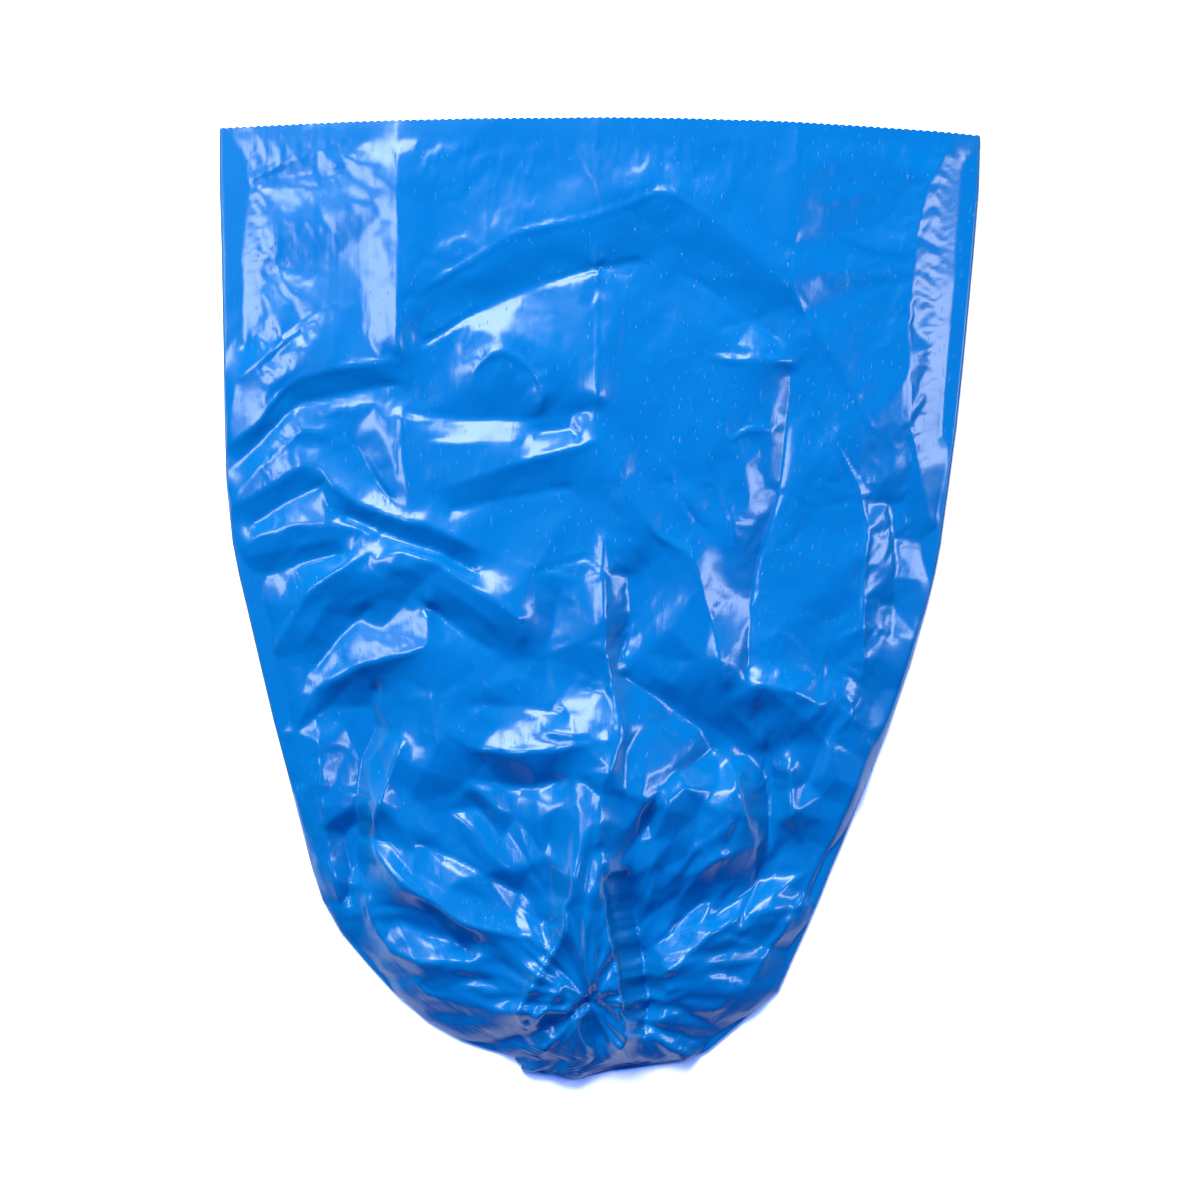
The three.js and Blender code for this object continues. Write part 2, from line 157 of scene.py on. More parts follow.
# The folds of the bag, read off the real bag one by one.
FOLDS = (
    # Quarter creases from the roll.
    Fold("left_quarter", (
        (-161, 2, 3), (-161, 31, 5), (-161, 63, 6), (-161, 143, 7.5), (-161, 188, 7),
    )),
    Fold("left_quarter_lower", ((-159, 234, 3), (-157, 272, 4.8), (-151, 304, 5.1))),
    Fold("left_quarter_tail", ((-137, 370, 6.7), (-136, 416, 7.5), (-134, 456, 5.4), (-128, 500, 6.8))),
    Fold("middle_crease", (
        (-2, 2, 3), (-2, 63, 3), (-2, 103, 2.5), (-2, 135, 2), (-3, 148, 4.5), (-2, 191, 7),
        (-2, 228, 7.5),
    )),
    Fold("right_quarter", ((158, 7, 4), (157, 63, 4.5), (155, 103, 4.5), (152, 135, 6))),
    Fold("right_quarter_gully", (
        (151, 199, -0.6), (151, 224, -1.8), (147, 256, -3), (142, 300, -3.8), (126, 352, -5),
        (120, 384, -5.4), (118, 442, -5.3),
    )),
    # The long ridge below the mouth, up to its peak and down again.
    Fold("mouth_ridge", (
        (-158, 147, 4), (-128, 129, 4), (-96, 110, 4), (-67, 92, 4), (-8, 80, 4), (24, 69, 5),
        (51, 58, 6),
    )),
    Fold("mouth_ridge_right", (
        (51, 58, 6), (80, 75, 5), (103, 91, 4.5), (132, 118, 4.5), (152, 138, 6),
    )),
    Fold("below_mouth_ridge", (
        (-140, 179, -2.5), (-96, 153, -3), (-56, 135, -3), (-16, 123, -2.5), (32, 113, -2.5),
    )),
    Fold("below_mouth_ridge_right", ((61, 121, -1), (84, 135, -2), (116, 158, -2), (141, 175, -1))),
    # Upper left side.
    Fold("left_crest", (
        (-289, 208, 4), (-271, 193, 6), (-253, 178, 7), (-238, 166, 7), (-226, 159, 5),
    )),
    Fold("left_crest_spur", ((-289, 208, 3), (-295, 232, 3), (-299, 256, 2.4))),
    Fold("ridge_b", (
        (-164, 193, 5.4), (-205, 199, 6), (-239, 207, 6), (-253, 217, 5.4), (-274, 244, 4.8),
        (-299, 261, 2.4),
    )),
    Fold("under_ridge_b", (
        (-162, 211, -1.2), (-201, 219, -1.5), (-241, 227, -1.5), (-271, 256, -1.2),
        (-295, 280, -0.6),
    )),
    Fold("flat_fold_c", ((-175, 228, 1.2), (-205, 232, 1.8), (-235, 240, 1.2))),
    Fold("flat_fold_d", ((-198, 260, 1.8), (-217, 260, 1.8), (-238, 261, 1.8))),
    Fold("lens_e_upper", ((-210, 248, 2.4), (-238, 250, 3.6), (-271, 278, 4.3), (-296, 309, 2.6))),
    Fold("lens_e_lower", ((-223, 275, 3), (-238, 278, 3.7), (-271, 298, 3.8), (-295, 310, 2.6))),
    Fold("under_lens_e", ((-221, 292, -1.2), (-249, 305, -1.6), (-281, 325, -1.3))),
    Fold("curtain_edge", ((-197, 256, -0.6), (-178, 288, -1.2), (-167, 305, 0.6))),
    Fold("ridge_f", (
        (-223, 275, 3.6), (-214, 293, 5.6), (-191, 308, 6.4), (-152, 322, 7.2), (-140, 323, 7.3),
        (-111, 336, 6.8), (-98, 344, 4.9),
    )),
    Fold("under_ridge_f", ((-205, 316, -0.9), (-161, 336, -1.4), (-128, 346, -1.8), (-98, 362, -1.4))),
    Fold("lens_g_upper", (
        (-287, 344, 2.8), (-271, 332, 4.7), (-241, 324, 5.3), (-197, 325, 5.3), (-177, 329, 3.3),
    )),
    Fold("lens_g_lower", ((-285, 350, 2.8), (-253, 343, 4.1), (-209, 335, 4.7), (-181, 333, 3.4))),
    Fold("under_lens_g", ((-277, 366, -1.4), (-233, 354, -1.8), (-205, 347, -1.8))),
    Fold("band_h_upper", (
        (-182, 346, 4.2), (-205, 358, 7.2), (-233, 379, 7.6), (-258, 420, 6.7), (-260, 428, 5.1),
        (-263, 444, 4.4), (-253, 456, 1.8),
    )),
    Fold("band_h_lower", ((-182, 349, 3.5), (-209, 374, 6), (-221, 394, 5.5), (-242, 425, 4.2))),
    Fold("right_of_band_h", ((-183, 390, -1.9), (-205, 410, -2.5), (-229, 439, -1.8))),
    Fold("ridge_i_upper", (
        (-177, 354, 5), (-161, 345, 6.9), (-144, 346, 8.4), (-96, 376, 9), (-64, 398, 9.6),
        (-61, 416, 6.7),
    )),
    Fold("ridge_i_lower", ((-177, 355, 4.3), (-152, 359, 7.2), (-108, 384, 7.7), (-80, 406, 6.5))),
    Fold("under_ridge_i", ((-140, 388, -1.6), (-112, 408, -2.5), (-87, 424, -2.5))),
    Fold("fold_j", ((-175, 362, 2.9), (-157, 367, 4.4), (-165, 375, 3.8), (-199, 389, 3.1))),
    Fold("ridge_l", ((-219, 450, 3.6), (-190, 436, 7.8), (-152, 427, 9.4), (-136, 419, 8.4))),
    Fold("under_ridge_l", ((-161, 464, -1.9), (-167, 492, -1.4))),
    # Middle.
    Fold("cross_crease", ((-156, 235, -0.5), (-104, 239, -2.5), (-56, 240, -3), (-10, 234, -1.5))),
    Fold("pocket", ((-54, 248, -4.2), (-40, 250, -4.2), (-24, 247, -3.6), (-18, 254, -2.4))),
    Fold("ridge_k", ((-128, 296, 3.8), (-96, 285, 4.9), (-48, 270, 5.4), (-2, 258, 5.4))),
    Fold("under_ridge_k", ((-120, 313, -0.9), (-80, 304, -1.2), (-24, 294, -1.2))),
    Fold("star_ridge", (
        (0, 258, 4.8), (16, 290, 6.8), (32, 316, 7.1), (44, 332, 8.1), (72, 348, 7.7),
        (91, 408, 8.2), (96, 439, 7.9), (100, 452, 5.4),
    )),
    Fold("band_low_side", ((32, 352, -1.1), (44, 408, -1.6), (52, 446, -2.2))),
    Fold("star_valley", ((52, 288, -1.2), (80, 328, -1.4))),
    Fold("centre_spike", (
        (1, 334, 6.1), (3, 384, 9.2), (5, 432, 11.2), (13, 464, 11), (16, 493, 14.4),
    )),
    Fold("left_of_spike", ((-32, 376, -1.1), (-42, 416, -1.6), (-44, 464, -1.9))),
    Fold("right_of_spike", ((20, 360, -1.8), (24, 400, -2.4), (19, 428, -2.1))),
    Fold("slant_gully", (
        (18, 444, -2.7), (40, 458, -7.3), (80, 486, -8.6), (90, 503, -7.8), (64, 520, -5.9),
    )),
    Fold("star_lower_left", (
        (16, 493, 14.4), (0, 495, 11.6), (-32, 501, 11.7), (-64, 504, 10.7), (-100, 502, 8.8),
        (-119, 491, 5.8),
    )),
    Fold("star_lower_spur", ((-43, 487, 8.6), (-2, 492, 11.5))),
    Fold("above_star_lower", ((-104, 468, -2.3), (-64, 468, -2.8), (-28, 474, -1.9))),
    Fold("under_star_lower", ((-104, 527, -4), (-64, 533, -6), (-28, 527, -5))),
    Fold("star_down", ((16, 493, 14.4), (11, 512, 12.8), (2, 527, 12.9), (0, 553, 11), (-2, 578, 13))),
    Fold("star_ray", ((3, 529, 11.9), (48, 545, 6), (93, 565, 4))),
    # Right side.
    Fold("right_patch", ((90, 191, 4), (104, 193, 6), (135, 194, 6.5), (147, 193, 6))),
    Fold("above_right_patch", ((98, 166, -1.5), (132, 158, -1.5))),
    Fold("right_slope", ((152, 138, 4.8), (177, 179, 5.4), (201, 220, 5.4), (217, 249, 6))),
    Fold("right_arc", ((103, 257, 4.2), (116, 249, 4.8), (131, 248, 3))),
    Fold("right_hook", ((87, 288, 4.3), (102, 308, 4.5), (108, 336, 2.7))),
    Fold("fold_m", (
        (168, 236, 4.2), (186, 256, 5.4), (205, 292, 6.2), (214, 328, 6.7), (210, 364, 6.6),
        (210, 416, 6.7), (209, 451, 5.4),
    )),
    Fold("fold_m_inner", ((167, 244, 2.4), (174, 288, 1.9), (178, 352, 2.1), (173, 408, 1.6))),
    Fold("right_of_fold_m", ((231, 304, -0.7), (237, 352, -1.1), (233, 416, -1.2))),
    Fold("right_shoulder", (
        (278, 23, 3.5), (261, 55, 5), (253, 91, 6), (246, 167, 6.5), (247, 240, 6.5), (257, 288, 5),
        (268, 328, 3),
    )),
    Fold("pocket_lip", ((122, 450, 4.5), (152, 456, 8.2), (175, 467, 8.3), (165, 480, 5.7))),
    Fold("lip_pocket", ((126, 468, -6.5), (127, 492, -7.7))),
    Fold("right_low_ridge", ((193, 458, 7.3), (199, 464, 8.3), (205, 506, 5.9))),
    Fold("right_low_spur", ((194, 472, 6.5), (187, 500, 5.8), (177, 527, 6))),
    Fold("deep_gully", (
        (133, 500, -11.6), (136, 537, -14), (135, 577, -14), (125, 613, -11), (112, 639, -8),
    )),
    Fold("gully_left_bank", ((103, 514, 6.9), (112, 541, 8), (124, 563, 6))),
    Fold("gully_right_bank", ((150, 514, 7.9), (151, 554, 8), (162, 575, 6))),
    Fold("gully_foot", ((67, 530, 5), (103, 560, 7), (98, 575, 6))),
    Fold("right_rim", ((218, 496, 4.8), (189, 569, 6), (158, 629, 6))),
    # Left side, lower down.
    Fold("left_gully", (
        (-178, 452, -8), (-188, 488, -12), (-193, 529, -12), (-196, 573, -10), (-201, 625, -5),
    )),
    Fold("left_gully_bank", ((-157, 498, 7.7), (-170, 533, 9), (-181, 562, 7))),
    Fold("left_outer", ((-228, 464, 3.7), (-223, 512, 5.9), (-217, 585, 6), (-207, 625, 5))),
    Fold("lower_left_ridge", (
        (-183, 578, 7), (-161, 601, 11), (-136, 619, 12), (-112, 637, 13), (-96, 642, 13),
        (-56, 649, 13), (-42, 665, 12),
    )),
    Fold("lower_left_lip", (
        (-185, 619, 6), (-182, 638, 8), (-166, 664, 9), (-140, 671, 9), (-98, 668, 9),
        (-74, 665, 7),
    )),
    Fold("between_lower_left", ((-161, 637, -1), (-136, 651, -2), (-96, 655, -1))),
    Fold("above_lower_left", ((-144, 577, -6), (-104, 594, -8), (-60, 618, -6))),
    Fold("lower_left_foot", ((-144, 687, 3), (-126, 699, 4), (-104, 709, 3))),
    # The gathers of the star seal.
    Fold("flap_left", (
        (-20, 594, 10), (-27, 617, 15), (-30, 649, 17), (-42, 669, 17), (-56, 693, 16),
        (-67, 709, 12),
    )),
    Fold("flap_right", (
        (5, 586, 16), (11, 613, 20), (17, 641, 22), (22, 673, 22), (25, 705, 20), (19, 737, 15),
        (6, 756, 6),
    )),
    Fold("flap_middle", ((-8, 609, 15), (-6, 665, 18), (0, 693, 18))),
    Fold("flap_hole", ((-11, 699, 4), (0, 734, 1))),
    Fold("flap_pleat_a", ((-30, 687, 17), (-42, 705, 14), (-56, 720, 9))),
    Fold("flap_pleat_b", ((-48, 705, 8), (-64, 723, 4))),
    Fold("flap_foot", ((-56, 734, 6), (-32, 737, 8), (-18, 755, 3))),
    Fold("right_of_flap", (
        (21, 599, -5), (27, 625, -11), (34, 665, -16), (39, 705, -14), (35, 729, -7),
    )),
    Fold("left_of_flap", ((-42, 609, -2), (-44, 641, -1))),
    # Lower right.
    Fold("ray_right_a", ((47, 697, 6), (80, 681, 8), (108, 687, 6))),
    Fold("ray_right_b", ((44, 715, 4), (72, 712, 6), (96, 709, 5))),
    Fold("ray_right_c", ((42, 679, 5), (58, 675, 8), (80, 655, 9), (93, 643, 8))),
    Fold("ray_right_d", ((64, 745, 2), (80, 738, 3), (91, 732, 2))),
    Fold("right_kink", ((74, 577, 6), (88, 590, 8), (101, 585, 7))),
    Fold("right_small", ((44, 602, 5), (36, 626, 4))),
    Fold("right_bright", ((154, 637, 5), (132, 667, 7), (116, 693, 6))),
    Fold("right_corner", ((104, 653, 7), (123, 659, 6), (104, 667, 6), (101, 703, 4))),
    Fold("right_valley", ((84, 621, -7), (58, 645, -8))),
    # The small dome left of the middle, and the feet along both side folds.
    Fold("dome_crest", (
        (-96, 220, 2), (-100, 203, 4), (-90, 190, 6.5), (-76, 187, 7.5), (-63, 193, 7),
    )),
    Fold("dome_right", ((-63, 193, 7), (-50, 206, 7), (-45, 220, 6), (-48, 232, 3))),
    Fold("curtain_below", ((-136, 260, 3), (-96, 260, 3), (-64, 256, 2))),
    Fold("right_edge_foot", ((294, 31, -1), (291, 111, -1.2), (285, 175, -1.5), (276, 256, -2))),
    Fold("left_edge_foot", ((-289, 23, -1), (-287, 111, -1.2), (-284, 183, -1.2))),
    # Knots and facets at the seal.
    Fold("flap_hole_bank", ((-19, 705, 14), (-10, 729, 12), (-8, 747, 8))),
    Fold("knot_a", ((-42, 705, 13), (-22, 713, 14), (-32, 737, 10))),
    Fold("knot_b", ((-64, 718, 9), (-39, 729, 10), (-48, 747, 6))),
    Fold("knot_valley_a", ((-32, 705, 5), (-44, 720, 4))),
    Fold("knot_valley_b", ((-80, 721, 1), (-56, 737, 0))),
    Fold("seal_left_facet_a", ((-136, 629, 2), (-119, 649, -3), (-104, 663, -4))),
    Fold("seal_left_facet_b", ((-161, 673, 4), (-136, 697, 5), (-104, 705, 3), (-80, 693, 6))),
    Fold("seal_left_facet_c", ((-201, 673, 3), (-183, 693, 5), (-152, 713, 4))),
)


@dataclass(frozen=True)
class Plan:
    """The liner as it lies: its outline and general lie, in millimetres.

    crown_rows holds shares of the length and heights along the centre line. side_rows holds shares of
    the length and how far the left and the right side fold lie out, as shares of half the mouth. One
    column of the film in each tooth_columns stands out at the mouth, which makes teeth 5.7 mm apart.
    """

    mouth_width: float = 610.0
    lying_length: float = 768.0
    bow_left: float = 6.0
    bow_right: float = 12.0
    fold_height: float = 2.6
    fullness: float = 2.6
    tooth_columns: int = 3
    tooth_height: float = 1.0
    crown_rows: tuple = (
        (0.0, 14), (0.2, 17), (0.4, 21), (0.6, 26), (0.8, 30), (0.92, 26), (0.97, 15), (1.0, 5),
    )
    side_rows: tuple = (
        (0.0, 1.0, 1.0), (0.06, 1.0, 0.995), (0.125, 0.995, 0.982), (0.187, 0.992, 0.968),
        (0.25, 0.989, 0.953), (0.312, 0.987, 0.937), (0.375, 0.982, 0.916), (0.437, 0.966, 0.895),
        (0.47, 0.95, 0.879), (0.5, 0.932, 0.861), (0.563, 0.895, 0.816), (0.625, 0.858, 0.763),
        (0.688, 0.816, 0.703), (0.75, 0.776, 0.639), (0.782, 0.755, 0.605), (0.813, 0.729, 0.574),
        (0.845, 0.684, 0.539), (0.876, 0.618, 0.503), (0.908, 0.545, 0.468), (0.939, 0.455, 0.376),
        (0.96, 0.361, 0.313), (0.97, 0.285, 0.284), (0.975, 0.225, 0.259), (0.981, 0.222, 0.229),
        (0.986, 0.205, 0.134), (0.991, 0.212, 0.032), (0.993, 0.15, 0.01), (0.995, 0.145, -0.01),
        (0.9965, 0.1, -0.025), (1.0, 0.08, -0.047),
    )

    def sides(self, share: np.ndarray) -> tuple[np.ndarray, np.ndarray]:
        """Finds the left and right side folds.

        Args:
            share: Shares of the lying length, from the mouth.

        Returns:
            How far left and how far right of the centre line they lie.
        """
        rows = np.array(self.side_rows)
        half = self.mouth_width / 2
        left, right = (np.interp(share, rows[:, 0], rows[:, i]) * half for i in (1, 2))
        return left, right

    def crown(self, share: np.ndarray) -> np.ndarray:
        """Gives the general height of the upper film along the centre line."""
        rows = np.array(self.crown_rows, dtype=float)
        return np.interp(share, rows[:, 0], rows[:, 1])

    def mouth_edge(self, across: np.ndarray) -> np.ndarray:
        """Gives how far the torn mouth lies behind its middle, its teeth left out."""
        half = self.mouth_width / 2
        depth = np.where(across < 0, self.bow_left, self.bow_right)
        return depth * (across / half) ** 2

    def lie(self, across: np.ndarray, down: np.ndarray) -> np.ndarray:
        """Gives the upper film's general height, with no folds in it."""
        share = down / self.lying_length
        left, right = self.sides(share)
        middle, half = (right - left) / 2, np.maximum((right + left) / 2, 1.0)
        side = np.clip(np.abs(across - middle) / half, 0.0, 1.0)
        rise = self.crown(share) - self.fold_height
        return self.fold_height + rise * (1.0 - side**self.fullness)


@dataclass(frozen=True)
class Facets:
    """Chance facets of the film, long ones that run to the star seal, livelier towards it.

    They are laid out in even units, as a turn about the seal and a distance from it. Each layer has
    the room round a corner, in those units, and its strength in millimetres.
    """

    seal: tuple[float, float]
    seed: int = 962
    layers: tuple = ((38.0, 2.5), (17.0, 1.25))
    turn_units: float = 170.0
    reach_units: float = 0.62
    half_turn: int = 570
    lead: int = 15
    depth: int = 500
    first_corner: tuple[float, float] = (-560.0, -5.0)
    last_corner: tuple[float, float] = (560.0, 470.0)
    thrown_over: float = 9e5
    throws: int = 3
    closest: float = 0.62
    wakes: tuple[float, float] = (0.3, 0.45)
    calms: tuple[float, float] = (0.76, 0.12)
    calmed: float = 0.55
    quiet: float = 0.2
    lively: float = 2.1

    def rises(self, x: np.ndarray, down: np.ndarray, share: np.ndarray) -> np.ndarray:
        """Works out how far the facets stand out of the film.

        Args:
            x: Places across.
            down: Places down.
            share: The places' shares of the length.

        Returns:
            The rise at each place.
        """
        chance = np.random.default_rng(self.seed)
        reach = np.hypot(x - self.seal[0], down - self.seal[1])
        turn = np.arctan2(x - self.seal[0], self.seal[1] - down + 1e-6)
        column, row = turn * self.turn_units + self.half_turn, reach * self.reach_units + self.lead
        waking = smooth((share - self.wakes[0]) / self.wakes[1])
        calming = 1.0 - self.calmed * smooth((share - self.calms[0]) / self.calms[1])
        total = np.zeros_like(x)
        for room, strength in self.layers:
            count = int(self.thrown_over / room**2) * self.throws
            kept = np.empty((0, 2))
            for point in chance.uniform(self.first_corner, self.last_corner, (count, 2)):
                if not len(kept) or np.hypot(*(kept - point).T).min() > room * self.closest:
                    kept = np.vstack([kept, point])
            layer = self.raster(kept, chance.normal(size=len(kept)))
            lift = strength * (self.quiet + self.lively * waking * calming)
            total += read_grid(layer, column, row) * lift
        return total

    def raster(self, corners: np.ndarray, rises: np.ndarray) -> np.ndarray:
        """Lays flat facets between corners.

        Args:
            corners: The corners, in the even units about the seal.
            rises: Each corner's rise.

        Returns:
            A raster with one cell to the unit.
        """
        start = (float(self.half_turn), float(self.lead))
        seeds = [Vector(corner) for corner in corners]
        places, _, faces, *_ = delaunay_2d_cdt(seeds, [], [], 0, 1e-4)
        place = np.array([corner[:] for corner in places]) + start
        z = rises[[np.argmin(np.hypot(*(corners + start - p).T)) for p in place]]
        raster = np.zeros((self.depth, 2 * self.half_turn))
        for face in faces:
            (ax, ay), (bx, by), (cx, cy) = place[list(face)]
            turn = (by - cy) * (ax - cx) + (cx - bx) * (ay - cy)
            if abs(turn) < 1e-9:
                continue
            low, high = max(math.ceil(min(ax, bx, cx)), 0), math.floor(max(ax, bx, cx)) + 1
            top, bottom = max(math.ceil(min(ay, by, cy)), 0), math.floor(max(ay, by, cy)) + 1
            x, y = np.meshgrid(np.arange(low, high), np.arange(top, bottom))
            first = ((by - cy) * (x - cx) + (cx - bx) * (y - cy)) / turn
            second = ((cy - ay) * (x - cx) + (ax - cx) * (y - cy)) / turn
            third = 1.0 - first - second
            inside = np.minimum(np.minimum(first, second), third) >= -1e-6
            height = first * z[face[0]] + second * z[face[1]] + third * z[face[2]]
            raster[top:bottom, low:high][inside] = height[inside]
        return raster


@dataclass(frozen=True)
class Wrinkles:
    """The finest relief: the mouth's sway, sharp wrinkles in patches, and pleats out from the seal."""

    seal: tuple[float, float]
    sway: float = 14.0
    sway_across: Lattice = Lattice(5, (60.0, 60.0), (9.0, 9.0))
    sway_down: Lattice = Lattice(6, (60.0, 60.0), (9.0, 9.0))
    fine: Lattice = Lattice(8, (19.0, 27.0), (40.0, 40.0))
    fine_rise: tuple[float, float] = (0.1, 0.5)
    patches: Lattice = Lattice(10, (70.0, 70.0), (5.0, 5.0))
    mouth: Lattice = Lattice(41, (34.0, 90.0), (9.0, 9.0))
    mouth_rise: float = 2.4
    mouth_share: float = 0.06
    swirl: Lattice = Lattice(11, (70.0, 1.0), (3.0, 40.0))
    swirls: float = 2.2
    swirl_turn: float = 1.5
    pleat: Lattice = Lattice(12, (1.0, 95.0), (40.0, 8.0))
    pleats: float = 9.0
    pleat_rise: float = 0.6
    pleat_oval: float = 0.8
    pleats_start: tuple[float, float] = (14.0, 40.0)
    pleats_end: tuple[float, float] = (90.0, 190.0)

    def rises(self, x: np.ndarray, down: np.ndarray, share: np.ndarray) -> np.ndarray:
        """Works out how far the wrinkles stand out of the film.

        Args:
            x: Places across.
            down: Places down.
            share: The places' shares of the length.

        Returns:
            The rise at each place.
        """
        across = self.sway * (self.sway_across.at(x, down) - 0.5)
        along = self.sway * (self.sway_down.at(x, down) - 0.5)
        fine = ridged(self.fine.at(x + along, down + across))
        where = smooth((self.patches.at(x, down) - 0.35) / 0.4)
        rise = self.fine_rise[0] + self.fine_rise[1] * smooth((share - 0.05) / 0.8)
        added = rise * where * fine**3
        near_mouth = 1 - smooth(share / self.mouth_share)
        added = added + self.mouth_rise * (self.mouth.at(x, down) - 0.5) * near_mouth
        reach = np.hypot(x - self.seal[0], (down - self.seal[1]) * self.pleat_oval)
        angle = np.arctan2(x - self.seal[0], self.seal[1] - down + 1e-6)
        turned = self.swirl_turn * self.swirl.at(reach, angle * self.swirls)
        pleat = ridged(self.pleat.at(angle * self.pleats + turned, reach))
        starting = smooth((reach - self.pleats_start[0]) / self.pleats_start[1])
        ending = 1.0 - smooth((reach - self.pleats_end[0]) / self.pleats_end[1])
        return added + self.pleat_rise * starting * ending * pleat**2


@dataclass
class Relief:
    """The upper film's height over the whole plan, as a fine raster."""

    plan: Plan
    cell: float = 1.3
    margin: float = 8.0
    lowered: float = 0.8
    floor_gap: float = 2.0
    reach_mouth: float = 34.0
    reach_seal: float = 15.0
    seal: tuple[float, float] = (-8.0, 700.0)
    coarser: tuple[int, ...] = (8, 4, 2, 1)
    stretch_rounds: int = 260
    steepest: float = 1.2
    lean_rounds: int = 14
    heights: np.ndarray = field(default=None, init=False)

    def build(self) -> None:
        """Works the raster out: the folds, the chance facets between them, then the wrinkles."""
        half, length = self.plan.mouth_width / 2 + self.margin, self.plan.lying_length
        self.across = np.arange(-half, half + self.cell, self.cell)
        self.down = np.arange(-self.margin, length + self.margin, self.cell)
        x, down = np.meshgrid(self.across, self.down)
        share = np.clip(down / length, 0.0, 1.0)
        heights = self.plan.lie(x, down) + self.stretched()
        heights = heights + Facets(self.seal).rises(x, down, share)
        heights = heights + Wrinkles(self.seal).rises(x, down, share)
        self.heights = np.maximum(heights - self.lowered, self.floor_gap)
        self.lean_walls()
        self.soften()

    def stretched(self) -> np.ndarray:
        """Stretches the film over its folds: sharp along each, then easing back to the general lie.

        Returns:
            The raster of rises over the general lie.
        """
        rise = np.zeros((2, 2))
        for coarse in self.coarser:
            cell = self.cell * coarse
            across = np.arange(self.across[0], self.across[-1] + cell, cell)
            down = np.arange(self.down[0], self.down[-1] + cell, cell)
            total, count, firm = np.zeros((3, len(down), len(across)))
            for fold in FOLDS:
                points = fold.points(cell / 2)
                row = np.round((points[:, 1] - down[0]) / cell).astype(int)
                column = np.round((points[:, 0] - across[0]) / cell).astype(int)
                np.add.at(total, (row, column), points[:, 2])
                np.add.at(count, (row, column), 1.0)
                np.maximum.at(firm, (row, column), points[:, 3])
            value = total / np.maximum(count, 1.0)
            share = np.clip(down / self.plan.lying_length, 0.0, 1.0)[:, None]
            left, right = self.plan.sides(share)
            outside = (across[None, :] < -left) | (across[None, :] > right)
            firm[outside] = 1.0
            value[outside] = 0.0
            reach = self.reach_mouth + (self.reach_seal - self.reach_mouth) * share
            pull = 1.0 / (4.0 + (cell / reach) ** 2)
            rows = np.linspace(0, rise.shape[0] - 1, len(down)).round().astype(int)
            columns = np.linspace(0, rise.shape[1] - 1, len(across)).round().astype(int)
            rise = rise[np.ix_(rows, columns)]
            for _ in range(self.stretch_rounds):
                edge = np.pad(rise, 1, "edge")
                rise = (edge[:-2, 1:-1] + edge[2:, 1:-1] + edge[1:-1, :-2] + edge[1:-1, 2:]) * pull
                rise += (value - rise) * firm
        return rise[: len(self.down), : len(self.across)]

    def lean_walls(self) -> None:
        """Lowers whatever stands steeper than the film would, so that each fold's wall leans."""
        for _ in range(self.lean_rounds):
            z = np.pad(self.heights, 1, "edge")
            across = np.minimum(z[1:-1, :-2], z[1:-1, 2:])
            down = np.minimum(z[:-2, 1:-1], z[2:, 1:-1])
            highest = np.minimum(across, down) + self.steepest * self.cell
            self.heights = np.minimum(self.heights, highest)

    def soften(self) -> None:
        """Rounds the creases of the raster a little."""
        for axis in (0, 1):
            padded = np.pad(self.heights, [(1, 1) if a == axis else (0, 0) for a in (0, 1)], "edge")
            first, last = np.roll(padded, 1, axis), np.roll(padded, -1, axis)
            mean = (first + 2 * padded + last) / 4
            self.heights = mean[1:-1] if axis == 0 else mean[:, 1:-1]

    def read(self, across: np.ndarray, down: np.ndarray) -> np.ndarray:
        """Reads the height between the raster's cells.

        Args:
            across: Millimetres right of the centre line.
            down: Millimetres down from the mouth.

        Returns:
            The height at each place.
        """
        column, row = (across - self.across[0]) / self.cell, (down - self.down[0]) / self.cell
        return read_grid(self.heights, column, row)


